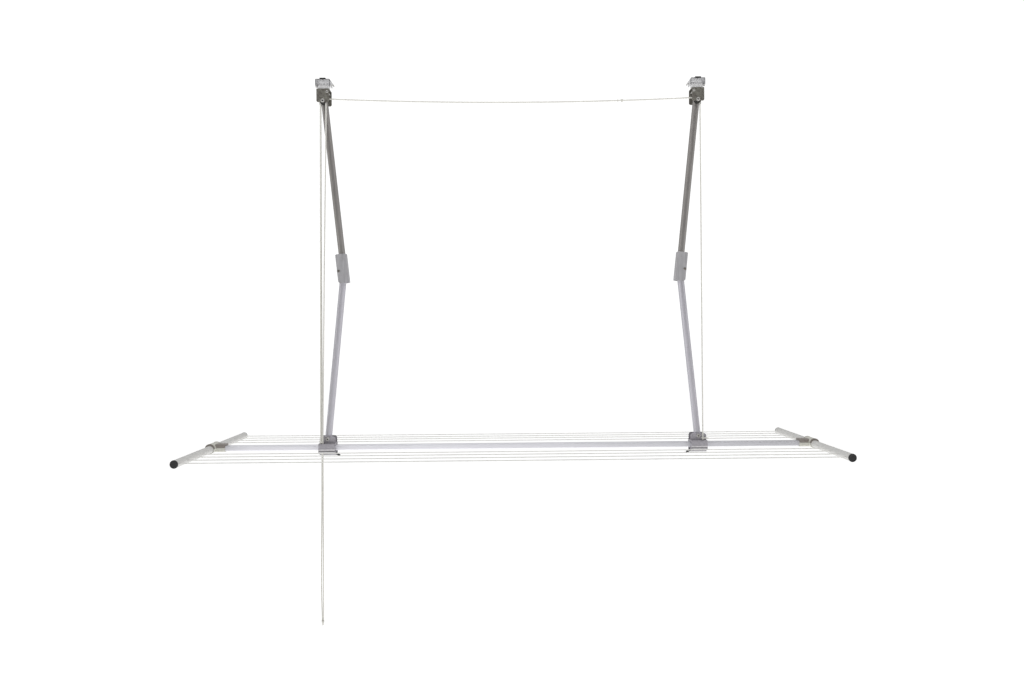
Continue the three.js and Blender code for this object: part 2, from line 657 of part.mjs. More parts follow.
function buildCords() {
  const [left, right] = SIDES;
  add(rack, 'lift_cord_left', liftRun(left, 573.5, SHEAVE.front, -20.8), LOOK.cord);
  add(rack, 'lift_cord_right', liftRun(right, 567.5, SHEAVE.rear, -16.5), LOOK.cord);
  add(rack, 'cross_cord', crossCord(), LOOK.cord);
  add(rack, 'pull_cord_rear', cordAlong(rearPullRoute, 2), LOOK.cord);
  add(rack, 'pull_cord_front', cordAlong(frontPullRoute, 2), LOOK.cord);
  add(rack, 'pull_tip', pullTip(), LOOK.sheave);
}

// ---------- the whole rack ----------

for (const side of SIDES) {
  buildCeilingBracket(side);
  buildKneeArm(side);
  buildRailBracket(side);
  buildCrossbar(side);
}
buildSheaves();
add(rack, 'rail', rail(), LOOK.railSilver);
buildLines();
buildCords();

export default rack;
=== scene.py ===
"""The looks of a ceiling mounted drying rack on two folding knee arms, raised by pull cords.

Metres, in the frame of the CAD model: Z up, X along the rack, Y from front to back, origin on the ceiling.
Sizes are written in millimetres and scaled by MM. Side pieces are shaped for the left side, with their own
+X pointing inward, and mirrored for the right side.
"""

import math

import bmesh
import bpy
import numpy as np
from mathutils import Matrix, Vector


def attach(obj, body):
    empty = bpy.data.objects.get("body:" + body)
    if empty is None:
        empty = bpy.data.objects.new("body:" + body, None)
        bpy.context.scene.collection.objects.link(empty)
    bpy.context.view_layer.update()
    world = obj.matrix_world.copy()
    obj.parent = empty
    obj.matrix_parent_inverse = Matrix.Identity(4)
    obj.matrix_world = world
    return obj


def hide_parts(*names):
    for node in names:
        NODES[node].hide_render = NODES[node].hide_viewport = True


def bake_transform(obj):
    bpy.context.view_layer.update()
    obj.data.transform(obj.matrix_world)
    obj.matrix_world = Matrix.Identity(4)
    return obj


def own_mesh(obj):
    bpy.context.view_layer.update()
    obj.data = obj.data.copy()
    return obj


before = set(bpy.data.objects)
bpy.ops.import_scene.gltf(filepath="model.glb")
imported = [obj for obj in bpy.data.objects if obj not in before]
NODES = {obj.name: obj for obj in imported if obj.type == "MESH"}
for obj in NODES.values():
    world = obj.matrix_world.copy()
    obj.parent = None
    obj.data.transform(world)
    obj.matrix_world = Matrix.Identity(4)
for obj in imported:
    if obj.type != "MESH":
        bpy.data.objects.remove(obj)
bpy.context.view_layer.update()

MM = 0.001
SIDES = {"left": -1, "right": 1}
SCENE = bpy.context.scene

BRACKET_X = 555
BAR_X = 900
UPPER_PIVOT_Z = -67
LOWER_PIVOT_Z = -1069
KNEE_X = 516.8
KNEE_Z = -568
FLOOR_Z = -2300


# ---------- camera, world and light ----------


CAMERA_AT = (-0.0306, -2.32686, -0.74535)
CAMERA_TURNS = (("Z", -0.70), ("X", -0.90), ("Y", 0.44), ("X", 90))  # degrees; the last turn is made first
LENS = 27.236
SENSOR_WIDTH = 36


def add_camera():
    data = bpy.data.cameras.new("camera")
    data.sensor_width = SENSOR_WIDTH
    data.lens = LENS
    data.clip_end = 200
    camera = bpy.data.objects.new("camera", data)
    SCENE.collection.objects.link(camera)
    yaw, pitch, roll, upright = (Matrix.Rotation(math.radians(turn), 3, axis) for axis, turn in CAMERA_TURNS)
    camera.matrix_world = Matrix.Translation(CAMERA_AT) @ (yaw @ pitch @ roll @ upright).to_4x4()
    SCENE.camera = camera


def add_area_light(name, at, target, size, power):
    data = bpy.data.lights.new(name, "AREA")
    data.shape = "RECTANGLE"
    data.size, data.size_y = size
    data.energy = power
    lamp = bpy.data.objects.new(name, data)
    SCENE.collection.objects.link(lamp)
    lamp.location = at
    lamp.rotation_mode = "QUATERNION"
    lamp.rotation_quaternion = (Vector(target) - Vector(at)).to_track_quat("-Z", "Y")


def add_world():
    """An even white studio; the reflections see a darker room in front, above eye height."""
    world = bpy.data.worlds.new("studio")
    SCENE.world = world
    world.use_nodes = True
    tree = world.node_tree
    tree.nodes.clear()
    node, link = tree.nodes.new, tree.links.new
    way = node("ShaderNodeTexCoord")
    split = node("ShaderNodeSeparateXYZ")
    link(way.outputs["Generated"], split.inputs[0])

    def fade(source, start, end):
        part = node("ShaderNodeMapRange")
        part.interpolation_type = "SMOOTHSTEP"
        part.inputs["From Min"].default_value = start
        part.inputs["From Max"].default_value = end
        link(source, part.inputs["Value"])
        return part.outputs["Result"]

    to_front = fade(split.outputs["Y"], -0.45, -0.95)
    above_eye = fade(split.outputs["Z"], -0.02, 0.16)
    dark = node("ShaderNodeMath")
    dark.operation = "MULTIPLY"
    link(to_front, dark.inputs[0])
    link(above_eye, dark.inputs[1])
    ramp = node("ShaderNodeValToRGB")
    ramp.color_ramp.elements[0].color = (1, 1, 1, 1)
    ramp.color_ramp.elements[1].color = (0.1, 0.1, 0.105, 1)
    link(dark.outputs[0], ramp.inputs[0])
    room = node("ShaderNodeBackground")
    room.inputs["Strength"].default_value = 0.5
    link(ramp.outputs[0], room.inputs["Color"])
    white = node("ShaderNodeBackground")
    white.inputs["Color"].default_value = (1, 1, 1, 1)
    white.inputs["Strength"].default_value = 1.1
    path = node("ShaderNodeLightPath")
    mix = node("ShaderNodeMixShader")
    link(path.outputs["Is Camera Ray"], mix.inputs[0])
    link(room.outputs[0], mix.inputs[1])
    link(white.outputs[0], mix.inputs[2])
    out = node("ShaderNodeOutputWorld")
    link(mix.outputs[0], out.inputs["Surface"])


add_camera()
add_world()
SCENE.view_settings.view_transform = "Standard"
add_area_light("overhead", at=(0, -0.3, 1.6), target=(0, 0, -1.1), size=(5, 4), power=48)
add_area_light("left_wall", at=(-3.4, -0.9, -0.5), target=(0, 0, -0.8), size=(2.2, 3), power=16)
add_area_light("right_wall", at=(3.4, -0.9, -0.5), target=(0, 0, -0.8), size=(2.2, 3), power=11)


# ---------- mesh tools ----------


def new_object(name, verts, faces, smooth=True):
    """A mesh object; verts are in millimetres."""
    mesh = bpy.data.meshes.new(name)
    mesh.from_pydata([[c * MM for c in v] for v in verts], [], faces)
    mesh.update()
    mesh.polygons.foreach_set("use_smooth", [smooth] * len(mesh.polygons))
    made = bpy.data.objects.new(name, mesh)
    SCENE.collection.objects.link(made)
    return made


AXES = {"x": (1, 2, 0), "y": (2, 0, 1), "z": (0, 1, 2)}  # the two cross directions, then the axis itself


def lathe(name, axis, profile, at=(0, 0, 0), sides=48):
    """A solid of revolution from [radius, position] pairs; a radius of 0 closes it on its axis."""
    across, up, along = AXES[axis]
    verts, rings, faces = [], [], []
    for radius, place in profile:
        count = 1 if radius == 0 else sides
        ring = []
        for i in range(count):
            angle = 2 * math.pi * i / sides
            point = list(at)
            point[across] += radius * math.cos(angle)
            point[up] += radius * math.sin(angle)
            point[along] += place
            ring.append(len(verts))
            verts.append(point)
        rings.append(ring)
    for low, high in zip(rings, rings[1:]):
        for i in range(sides):
            j = (i + 1) % sides
            corners = [low[i % len(low)], low[j % len(low)], high[j % len(high)], high[i % len(high)]]
            face = list(dict.fromkeys(corners))
            if len(face) > 2:
                faces.append(face)
    return face_outward(new_object(name, verts, faces))


def face_outward(made):
    """Joins the vertices that coincide and turns every face outward."""
    work = bmesh.new()
    work.from_mesh(made.data)
    bmesh.ops.remove_doubles(work, verts=work.verts, dist=1e-7)
    bmesh.ops.recalc_face_normals(work, faces=work.faces)
    work.to_mesh(made.data)
    work.free()
    return made


def prism(name, axis, outline, low, high):
    """A closed prism along an axis from points in the two cross directions."""
    across, up, along = AXES[axis]
    verts = []
    for place in (low, high):
        for a, b in outline:
            point = [0, 0, 0]
            point[across], point[up], point[along] = a, b, place
            verts.append(point)
    n = len(outline)
    faces = [list(range(n))[::-1], list(range(n, 2 * n))]
    faces += [[i, (i + 1) % n, n + (i + 1) % n, n + i] for i in range(n)]
    return face_outward(new_object(name, verts, faces, smooth=False))


def round_outline(a0, a1, b0, b1, radius, steps=8):
    """The corners of a rectangle with rounded corners."""
    corners = [(a1 - radius, b0 + radius, -90), (a1 - radius, b1 - radius, 0),
               (a0 + radius, b1 - radius, 90), (a0 + radius, b0 + radius, 180)]
    points = []
    for a, b, start in corners:
        for i in range(steps + 1):
            angle = math.radians(start + 90 * i / steps)
            points.append((a + radius * math.cos(angle), b + radius * math.sin(angle)))
    return points


def combine(base, others, how):
    """Adds the other solids to base or takes them away, and removes them."""
    for other in others:
        step = base.modifiers.new("step", "BOOLEAN")
        step.operation = how
        step.solver = "EXACT"
        step.object = other
        settle(base)
        bpy.data.objects.remove(other)
    return base


def settle(made):
    """Applies the modifiers of a piece to its mesh."""
    graph = bpy.context.evaluated_depsgraph_get()
    graph.update()
    mesh = bpy.data.meshes.new_from_object(made.evaluated_get(graph))
    made.modifiers.clear()
    made.data = mesh
    return made


def mirrored(made, inward):
    """Moves a side piece shaped for the left to its side; inward is 1 on the left and -1 on the right."""
    if inward < 0:
        made.data.transform(Matrix.Scale(-1, 4, Vector((1, 0, 0))))
        made.data.flip_normals()
    return made


def soften(made, width, angle=32, edge_material=0):
    """Rounds the sharp edges, with even shading on the flat faces between.

    edge_material is the finish of the rounding, or -1 for that of the faces beside it.
    """
    weld = made.modifiers.new("weld", "WELD")
    weld.merge_threshold = 1e-6
    flat = made.modifiers.new("flat", "DECIMATE")
    flat.decimate_type = "DISSOLVE"
    flat.angle_limit = math.radians(0.6)
    bevel = made.modifiers.new("bevel", "BEVEL")
    bevel.width = width * MM
    bevel.segments = 2
    bevel.limit_method = "ANGLE"
    bevel.angle_limit = math.radians(angle)
    bevel.use_clamp_overlap = True
    bevel.material = edge_material
    shade = made.modifiers.new("shade", "WEIGHTED_NORMAL")
    shade.keep_sharp = True
    made.data.polygons.foreach_set("use_smooth", [True] * len(made.data.polygons))
    return made


def spline_points(route, spacing):
    """Evenly spaced points, in millimetres, on the smooth curve through a route.

    The curve is a centripetal Catmull-Rom spline, traced in 64 steps between route points.
    """
    points = [np.array(p, float) for p in route]
    points = [2 * points[0] - points[1]] + points + [2 * points[-1] - points[-2]]
    dense = []
    for p0, p1, p2, p3 in zip(points, points[1:], points[2:], points[3:]):
        d0, d1, d2 = (float(np.linalg.norm(b - a)) ** 0.5 for a, b in ((p0, p1), (p1, p2), (p2, p3)))
        m1 = d1 * ((p1 - p0) / d0 - (p2 - p0) / (d0 + d1) + (p2 - p1) / d1)
        m2 = d1 * ((p2 - p1) / d1 - (p3 - p1) / (d1 + d2) + (p3 - p2) / d2)
        t = np.linspace(0, 1, 65)[:-1, None]
        dense.append((2 * t**3 - 3 * t**2 + 1) * p1 + (t**3 - 2 * t**2 + t) * m1
                     + (3 * t**2 - 2 * t**3) * p2 + (t**3 - t**2) * m2)
    dense = np.vstack(dense + [points[-2][None]])
    reach = np.concatenate([[0], np.cumsum(np.linalg.norm(np.diff(dense, axis=0), axis=1))])
    places = np.linspace(0, reach[-1], max(2, round(reach[-1] / spacing)) + 1)
    return np.stack([np.interp(places, reach, dense[:, k]) for k in range(3)], axis=1)


def carried_frames(path):
    """Two unit directions square to the path at each point, carried along it without twisting."""
    ways = np.gradient(path, axis=0)
    ways /= np.linalg.norm(ways, axis=1)[:, None]
    side = np.cross(ways[0], (0, 1, 0) if abs(ways[0][1]) < 0.9 else (1, 0, 0))
    sides = []
    for way in ways:
        side = side - way * (side @ way)
        side /= np.linalg.norm(side)
        sides.append(side)
    sides = np.array(sides)
    return sides, np.cross(ways, sides)


def swept(name, path, radius_at, sides):
    """A closed tube round a path.

    radius_at gives the tube's radius from the length along the path and the angle round it.
    """
    first, second = carried_frames(path)
    reach = np.concatenate([[0], np.cumsum(np.linalg.norm(np.diff(path, axis=0), axis=1))])
    angle = 2 * np.pi * np.arange(sides) / sides
    radius = radius_at(reach[:, None], angle[None, :])
    rings = path[:, None] + radius[..., None] * (
        first[:, None] * np.cos(angle)[None, :, None] + second[:, None] * np.sin(angle)[None, :, None])
    verts = rings.reshape(-1, 3).tolist()
    count = len(path)
    faces = []
    for i in range(count - 1):
        for k in range(sides):
            a, b = i * sides + k, i * sides + (k + 1) % sides
            faces.append([a, b, b + sides, a + sides])
    verts += [path[0].tolist(), path[-1].tolist()]
    last = (count - 1) * sides
    for k in range(sides):
        faces.append([count * sides, (k + 1) % sides, k])
        faces.append([count * sides + 1, last + k, last + (k + 1) % sides])
    return new_object(name, verts, faces)


def even(radius):
    """A radius for swept that is the same everywhere."""
    return lambda reach, angle: np.full(np.broadcast_shapes(reach.shape, angle.shape), radius)


# ---------- materials ----------


def painted_light_along_rack(tree, place, ramp, fade):
    """The ramp's colour, made brighter or darker along the rack's length: painted light and shade."""
    node, link = tree.nodes.new, tree.links.new
    split = node("ShaderNodeSeparateXYZ")
    link(place.outputs["Object"], split.inputs[0])
    span = node("ShaderNodeMapRange")
    span.inputs["From Min"].default_value = fade[0][0]
    span.inputs["From Max"].default_value = fade[-1][0]
    link(split.outputs["X"], span.inputs["Value"])
    steps = node("ShaderNodeValToRGB")
    stops = steps.color_ramp.elements
    while len(stops) < len(fade):
        stops.new(0.5)
    for stop, (x, brightness) in zip(stops, fade):
        stop.position = (x - fade[0][0]) / (fade[-1][0] - fade[0][0])
        stop.color = (brightness, brightness, brightness, 1)
    link(span.outputs["Result"], steps.inputs["Fac"])
    product = node("ShaderNodeVectorMath")
    product.operation = "MULTIPLY"
    link(ramp.outputs["Color"], product.inputs[0])
    link(steps.outputs["Color"], product.inputs[1])
    return product.outputs["Vector"]


ROUGHNESS_VARY = 0.12


def surface(name, colour, roughness, metallic=0.0, vary=0.12, scale=(1, 1, 1), mottle=90, grain=1400,
            bump=0.12, depth=0.00012, tint=None, coat=0.0, fade=None, glow=0.0):
    """A procedural finish: mottled colour, uneven roughness and a fine grain in the surface.

    The colour goes from darker by vary to lighter by vary. Its light end comes from tint, where one is given.
    mottle and grain are how fine the blotches and the relief are. fade lists (x in metres, brightness) along
    the rack, as painted light and shade, and glow is light of the surface's own.
    """
    made = bpy.data.materials.new(name)
    made.use_nodes = True
    tree = made.node_tree
    node, link = tree.nodes.new, tree.links.new
    shader = tree.nodes["Principled BSDF"]
    shader.inputs["Metallic"].default_value = metallic
    shader.inputs["Coat Weight"].default_value = coat
    place = node("ShaderNodeTexCoord")
    stretch = node("ShaderNodeMapping")
    stretch.inputs["Scale"].default_value = scale
    link(place.outputs["Object"], stretch.inputs["Vector"])

    def noise(size, detail, rough=0.55):
        blotches = node("ShaderNodeTexNoise")
        blotches.inputs["Scale"].default_value = size
        blotches.inputs["Detail"].default_value = detail
        blotches.inputs["Roughness"].default_value = rough
        link(stretch.outputs["Vector"], blotches.inputs["Vector"])
        return blotches.outputs["Fac"]

    ramp = node("ShaderNodeValToRGB")
    dark = [c * (1 - vary) for c in colour]
    light = [min(1, c * (1 + vary)) for c in (tint or colour)]
    ramp.color_ramp.elements[0].position = 0.32
    ramp.color_ramp.elements[0].color = (*dark, 1)
    ramp.color_ramp.elements[1].position = 0.68
    ramp.color_ramp.elements[1].color = (*light, 1)
    link(noise(mottle, 6), ramp.inputs["Fac"])
    if fade:
        link(painted_light_along_rack(tree, place, ramp, fade), shader.inputs["Base Color"])
    else:
        link(ramp.outputs["Color"], shader.inputs["Base Color"])
    if glow:
        shader.inputs["Emission Color"].default_value = (1, 1, 1, 1)
        shader.inputs["Emission Strength"].default_value = glow
    rough = node("ShaderNodeMapRange")
    rough.inputs["From Min"].default_value = 0.3
    rough.inputs["From Max"].default_value = 0.7
    rough.inputs["To Min"].default_value = max(0.05, roughness - ROUGHNESS_VARY)
    rough.inputs["To Max"].default_value = min(1, roughness + ROUGHNESS_VARY)
    link(noise(mottle * 3.1, 4), rough.inputs["Value"])
    link(rough.outputs["Result"], shader.inputs["Roughness"])
    relief = node("ShaderNodeBump")
    relief.inputs["Strength"].default_value = bump
    relief.inputs["Distance"].default_value = depth
    link(noise(grain, 3, 0.6), relief.inputs["Height"])
    link(relief.outputs["Normal"], shader.inputs["Normal"])
    return made


UP = (1, 1, 0.03)  # streaks that run up and down
ALONG = (0.02, 1, 1)  # streaks that run along the rack

LOOK = {
    "rubber": surface("rubber", (0.018, 0.018, 0.018), 0.82, vary=0.25, bump=0.4),
    "zinc": surface("zinc", (0.8, 0.795, 0.8), 0.5, 0.2, vary=0.04, mottle=240, grain=2600),
    "channel": surface("channel", (0.62, 0.62, 0.63), 0.5, 0.25, vary=0.06, mottle=240, grain=2600),
    # painted shade: a near-black finish for the ceiling channel's front edges
    "edge_painted_shade": surface("edge_painted_shade", (0.1, 0.1, 0.105), 0.45, 0.5, vary=0.25, mottle=240, grain=2600),
    "cast_grey": surface("cast_grey", (0.15, 0.132, 0.118), 0.5, 0.3, vary=0.35, mottle=170, grain=480,
                         bump=0.55, depth=0.0005, tint=(0.165, 0.162, 0.14)),
    "pin_steel": surface("pin_steel", (0.52, 0.51, 0.49), 0.35, 0.8, vary=0.1, mottle=400, grain=3000),
    # painted shade: near black for the hollow in each pin head
    "dimple_painted_shade": surface("dimple_painted_shade", (0.045, 0.042, 0.04), 0.5, 0.5, vary=0.3, mottle=400, grain=3000),
    "upper_arm_enamel": surface("upper_arm_enamel", (0.3, 0.285, 0.275), 0.42, 0.6, vary=0.08, scale=UP,
                                mottle=260, grain=1500, bump=0.15),
    "lower_arm_enamel": surface("lower_arm_enamel", (0.5, 0.49, 0.53), 0.4, 0.55, vary=0.07, scale=UP,
                                mottle=260, grain=1500, bump=0.15),
    "knee_grey": surface("knee_grey", (0.4, 0.395, 0.41), 0.5, 0.2, vary=0.16, scale=(1, 1, 0.1),
                         mottle=220, grain=900, bump=0.3, depth=0.0002),
    "clamp_grey": surface("clamp_grey", (0.38, 0.365, 0.395), 0.48, 0.25, vary=0.14, mottle=150, grain=900,
                          bump=0.3, depth=0.0002),
    # the fade paints light and shade along the rail: darker towards both ends, most at the right
    "rail_silver": surface("rail_silver", (0.84, 0.835, 0.88), 0.42, 0.3, vary=0.04, scale=ALONG,
                           mottle=180, grain=1500, bump=0.15,
                           fade=[(-0.885, 0.74), (-0.79, 0.97), (-0.2, 1), (0.25, 0.88), (0.885, 0.64)]),
    "bar_white": surface("bar_white", (0.6, 0.595, 0.58), 0.45, vary=0.06, mottle=90, grain=800,
                         bump=0.3, depth=0.0003, coat=0.1),
    # taupe: the upper socket's colour, and a painted shadow line on the sleeve's lips
    "tee_taupe": surface("tee_taupe", (0.25, 0.225, 0.205), 0.5, vary=0.14, mottle=140, grain=1300,
                         bump=0.25),
    "tee_cream": surface("tee_cream", (0.6, 0.595, 0.54), 0.5, vary=0.08, mottle=140, grain=1300,
                         bump=0.25),
    "black_plastic": surface("black_plastic", (0.009, 0.009, 0.01), 0.5, vary=0.3, mottle=160, grain=1500,
                             bump=0.3),
    "line_white": surface("line_white", (0.72, 0.715, 0.69), 0.5, vary=0.07, mottle=120, grain=1600,
                          bump=0.2),
    "cord_white": surface("cord_white", (0.7, 0.69, 0.645), 0.85, vary=0.1, mottle=300, grain=3200,
                          bump=0.5, depth=0.0003),
    "sheave_dark": surface("sheave_dark", (0.05, 0.048, 0.045), 0.45, vary=0.25, mottle=150, grain=1500),
    # painted highlight for the ribs across the saddle's lip
    "rib_painted_highlight": surface("rib_painted_highlight", (0.6, 0.585, 0.6), 0.5, 0.1, vary=0.12, mottle=150, grain=900,
                         bump=0.3),
    # painted shade for the grooves beside those ribs
    "groove_painted_shade": surface("groove_painted_shade", (0.17, 0.165, 0.17), 0.6, 0.1, vary=0.2, mottle=150, grain=900),
    "sheave_plastic": surface("sheave_plastic", (0.7, 0.69, 0.65), 0.4, vary=0.06, mottle=150, grain=1500),
    "worn_dark": surface("worn_dark", (0.24, 0.22, 0.2), 0.4, 0.6, vary=0.2, mottle=260),
    "worn_grey": surface("worn_grey", (0.5, 0.49, 0.5), 0.36, 0.6, vary=0.15, mottle=260),
}


def paint(made, *names):
    """Gives a piece its finishes, in the order of its material indices."""
    made.data.materials.clear()
    for name in names:
        made.data.materials.append(LOOK[name])
    return made


# ---------- cords ----------

CORD_RADIUS = 2
SHEAVE_RADIUS = 8
SHEAVE_STEP = 22.5  # degrees between the route's points on a sheave
SHEAVE_REAR_Y = -15.6
SHEAVE_FRONT_Y = -21.8
LEAVES_Z = -67.8
ANCHOR_Z = -1080.7
TIP_TOP_Z = -1610.7
KNOT_Z = -1076.5
CROSS_TOP_Z = UPPER_PIVOT_Z + SHEAVE_RADIUS
CROSS_SAG = 12.5
BRAID_PITCH = 15
STRANDS = 4


def over_sheave(x, y, start, end):
    """Route points round the top of a sheave, from one angle in degrees to another."""
    pieces = round(abs(end - start) / SHEAVE_STEP)
    turn = [math.radians(start + (end - start) * i / pieces) for i in range(pieces + 1)]
    return [(x + SHEAVE_RADIUS * math.cos(a), y, UPPER_PIVOT_Z + SHEAVE_RADIUS * math.sin(a)) for a in turn]


def halfway(a, b):
    """The point midway between two others."""
    return tuple((p + q) / 2 for p, q in zip(a, b))


def cross_height(x):
    """The height of the sagging cross cord."""
    return CROSS_TOP_Z - CROSS_SAG * (1 - (x / BRACKET_X) ** 2)


LIFT_LEFT = [(-563, SHEAVE_FRONT_Y, LEAVES_Z), (-573.5, -20.8, ANCHOR_Z)]
LIFT_RIGHT = [(563, SHEAVE_REAR_Y, LEAVES_Z), (567.5, -16.5, ANCHOR_Z)]
ROUTES = {
    "lift_cord_left": [LIFT_LEFT[0], halfway(*LIFT_LEFT), LIFT_LEFT[1]],
    "lift_cord_right": [LIFT_RIGHT[0], halfway(*LIFT_RIGHT), LIFT_RIGHT[1]],
    "cross_cord": [
        *over_sheave(BRACKET_X, SHEAVE_REAR_Y, 0, 90),
        *((x, SHEAVE_REAR_Y, cross_height(x)) for x in (500, 400, 250, 100, -100, -250, -400, -500)),
        *over_sheave(-BRACKET_X, SHEAVE_REAR_Y, 90, 180),
    ],
    "pull_cord_rear": [
        (-563, SHEAVE_REAR_Y, LEAVES_Z), (-566.8, -15.8, -570), (-570.4, -16.3, -1070),
        (-570.8, -17.2, -1110), (-573, -17.2, -1260), (-576, -17.1, -1430), (-576.8, -17.2, -1530),
        (-576, -17.6, -1590), (-575.9, -18, TIP_TOP_Z),
    ],
    "pull_cord_front": [
        *over_sheave(-BRACKET_X, SHEAVE_FRONT_Y, 180, 0),
        (-557.2, -21.3, -570), (-567.2, -20.6, -1070), (-567.6, -20.5, -1110), (-568.5, -20.2, -1260),
        (-569.8, -19.6, -1430), (-570.6, -19, -1530), (-571.2, -18.4, -1590), (-571.7, -18, TIP_TOP_Z),
    ],
}


def braid_radius(reach, angle):
    """Two sets of crossing strands stand proud of the cord by turns."""
    turn = 2 * np.pi * reach / BRAID_PITCH
    one = np.cos(STRANDS / 2 * (angle + turn)) ** 2
    other = np.cos(STRANDS / 2 * (angle - turn)) ** 2
    return CORD_RADIUS * (0.9 + 0.12 * np.maximum(one, other) ** 0.7)


def braided(name, route):
    """A braided cord along a route, with its path and its length in metres."""
    path = spline_points(route, 1.0)
    made = swept(name, path, braid_radius, sides=12)
    paint(made, "cord_white")
    length = float(np.linalg.norm(np.diff(path, axis=0), axis=1).sum()) * MM
    return made, path, length


def knot(name, at, size, tails=()):
    """A small tight overhand knot, with the cord's cut tails standing out of it."""
    strand_radius = 1.7
    t = np.linspace(0, 2 * np.pi, 73)
    loop = np.stack([np.sin(t) + 2 * np.sin(2 * t), -np.sin(3 * t), np.cos(t) - 2 * np.cos(2 * t)], axis=1)
    made = swept(name, loop * size / 3 + np.array(at), even(strand_radius), sides=12)
    for i, route in enumerate(tails):
        tail = swept(f"{name}_tail_{i}", spline_points(route, 1.0), braid_radius, sides=12)
        made = merge(made, tail)
    return paint(made, "cord_white")


def merge(made, other):
    """One piece out of two."""
    work = bmesh.new()
    work.from_mesh(made.data)
    work.from_mesh(other.data)
    work.to_mesh(made.data)
    work.free()
    made.data.polygons.foreach_set("use_smooth", [True] * len(made.data.polygons))
    bpy.data.objects.remove(other)
    return made


def add_cords():
    tip = lathe("pull_tip_visual", "z", [
        (0, -1627), (0.9, -1627), (1.5, -1626.4), (2.3, -1624.8), (3.6, -1619.5), (4.4, -1616.5),
        (4.6, -1613.2), (4.5, -1611.8), (4, -1611), (0, -1611)], at=(-573.8, -18, 0))
    paint(tip, "sheave_plastic")
    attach(tip, "pull_end")
    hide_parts("pull_tip")

    joins = [knot("cross_cord_knot", (330, SHEAVE_REAR_Y, cross_height(330)), 3.4),
             knot("cross_cord_knot_end", (318, SHEAVE_REAR_Y, cross_height(318)), 2.0)]
    left_end = knot("lift_knot_left", (*LIFT_LEFT[1][:2], KNOT_Z), 3.2)
    right_end = knot("lift_knot_right", (*LIFT_RIGHT[1][:2], KNOT_Z), 3.2,
                     [[(568, -16.5, KNOT_Z), (576, -17.5, KNOT_Z + 1.5), (584, -18, KNOT_Z)]])
    for piece in joins:
        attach(piece, "root")
    for piece in (left_end, right_end):
        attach(piece, "frame")

    for name, route in ROUTES.items():
        made, path, length = braided(name + "_braid", route)
        if name.startswith("pull"):
            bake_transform(made)
        else:
            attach(made, "root")
        if name.startswith("lift"):
            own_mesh(made)
        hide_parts(name)


add_cords()


# ---------- drying lines ----------

LINE_RADIUS = 1.5
LINE_END = 896.5
LINE_FIRST_Y = 113
LINE_GAP = 50
BAR_Z = -1095


def add_lines():
    """Coated lines, strung tight between the crossbars, each with a hair of sag."""

    def radius_at(reach, angle):
        return LINE_RADIUS * (1 + 0.03 * np.cos(3 * angle + reach / 3))

    places = sorted(sign * (LINE_FIRST_Y + LINE_GAP * i) for sign in (-1, 1) for i in range(4))
    for i, y in enumerate(places):
        sag = 0.4 + 0.2 * math.sin(2.1 * i + 0.6)
        x = np.linspace(-LINE_END, LINE_END, 361)
        z = BAR_Z - sag * (1 - (x / LINE_END) ** 2)
        path = np.stack([x, np.full_like(x, y), z], axis=1)
        made = swept(f"line_{i + 1}", path, radius_at, sides=12)
        paint(made, "line_white")
        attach(made, "frame")
        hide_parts(f"drying_line_{i + 1}")


add_lines()


# ---------- CAD nodes that keep their shape ----------

KEPT = [  # node, finishes with the edges' last, edge rounding in millimetres
    ("ceiling_pad", ["rubber"], 0.5),
    ("hanger_block", ["zinc"], 0.6),
    ("pulley_bracket", ["cast_grey", "worn_dark"], 0.45),
    ("upper_arm_tube", ["upper_arm_enamel"], 0.25),
    ("knee_bracket", ["knee_grey", "worn_grey"], 0.5),
    ("lower_arm_tube", ["lower_arm_enamel"], 0.25),
    ("knee_lug", ["knee_grey"], 0.4),
    ("clamp_jaw", ["clamp_grey", "worn_grey"], 0.3),
    ("clamp_lever", ["black_plastic"], 0.5),
    ("crossbar", ["bar_white"], 0.2),
]


FACES_FRONT = -0.9  # a normal's Y part is below this on a face that looks to the front


def face_places(made):
    """The centre and normal of each face of a CAD node, in millimetres in the frame."""
    turn = made.matrix_world.to_3x3()
    for face in made.data.polygons:
        yield face, made.matrix_world @ face.center / MM, turn @ face.normal


def paint_shade_on_sheet_edges(channel):
    """The cut front edges of the ceiling channel are painted dark: painted shade on the sheet's edges."""
    paint(channel, "channel", "edge_painted_shade")
    for face, _, normal in face_places(channel):
        face.material_index = 1 if normal.y < FACES_FRONT else 0


def paint_light_and_shade_on_lip_ribs(bracket):
    """The two ribs across the saddle's lip get a painted highlight, and the grooves beside them get painted
    shade.
    """
    lip_face_y, rib_face_y, first_groove_z = -27, -28.2, -1101
    paint(bracket, "clamp_grey", "rib_painted_highlight", "groove_painted_shade")
    for face, centre, normal in face_places(bracket):
        # front faces on the ribs take the painted highlight; the lower groove takes the painted shade
        if normal.y > FACES_FRONT or centre.y > lip_face_y + 0.1:
            face.material_index = 0
        elif centre.y < rib_face_y + 0.1:
            face.material_index = 1
        else:
            face.material_index = 2 if centre.z < first_groove_z else 0


def finish_kept_nodes():
    for side in SIDES:
        for name, looks, rounding in KEPT:
            made = paint(NODES[f"{name}_{side}"], *looks)
            soften(made, rounding, edge_material=len(looks) - 1)
        paint_shade_on_sheet_edges(NODES[f"ceiling_channel_{side}"])
        paint_light_and_shade_on_lip_ribs(NODES[f"rail_bracket_{side}"])
        for made in (NODES[f"ceiling_channel_{side}"], NODES[f"rail_bracket_{side}"]):
            soften(made, 0.35, edge_material=-1)
    soften(paint(NODES["rail"], "rail_silver"), 0.25)


finish_kept_nodes()


# ---------- turned pieces: pins, sheaves and caps ----------


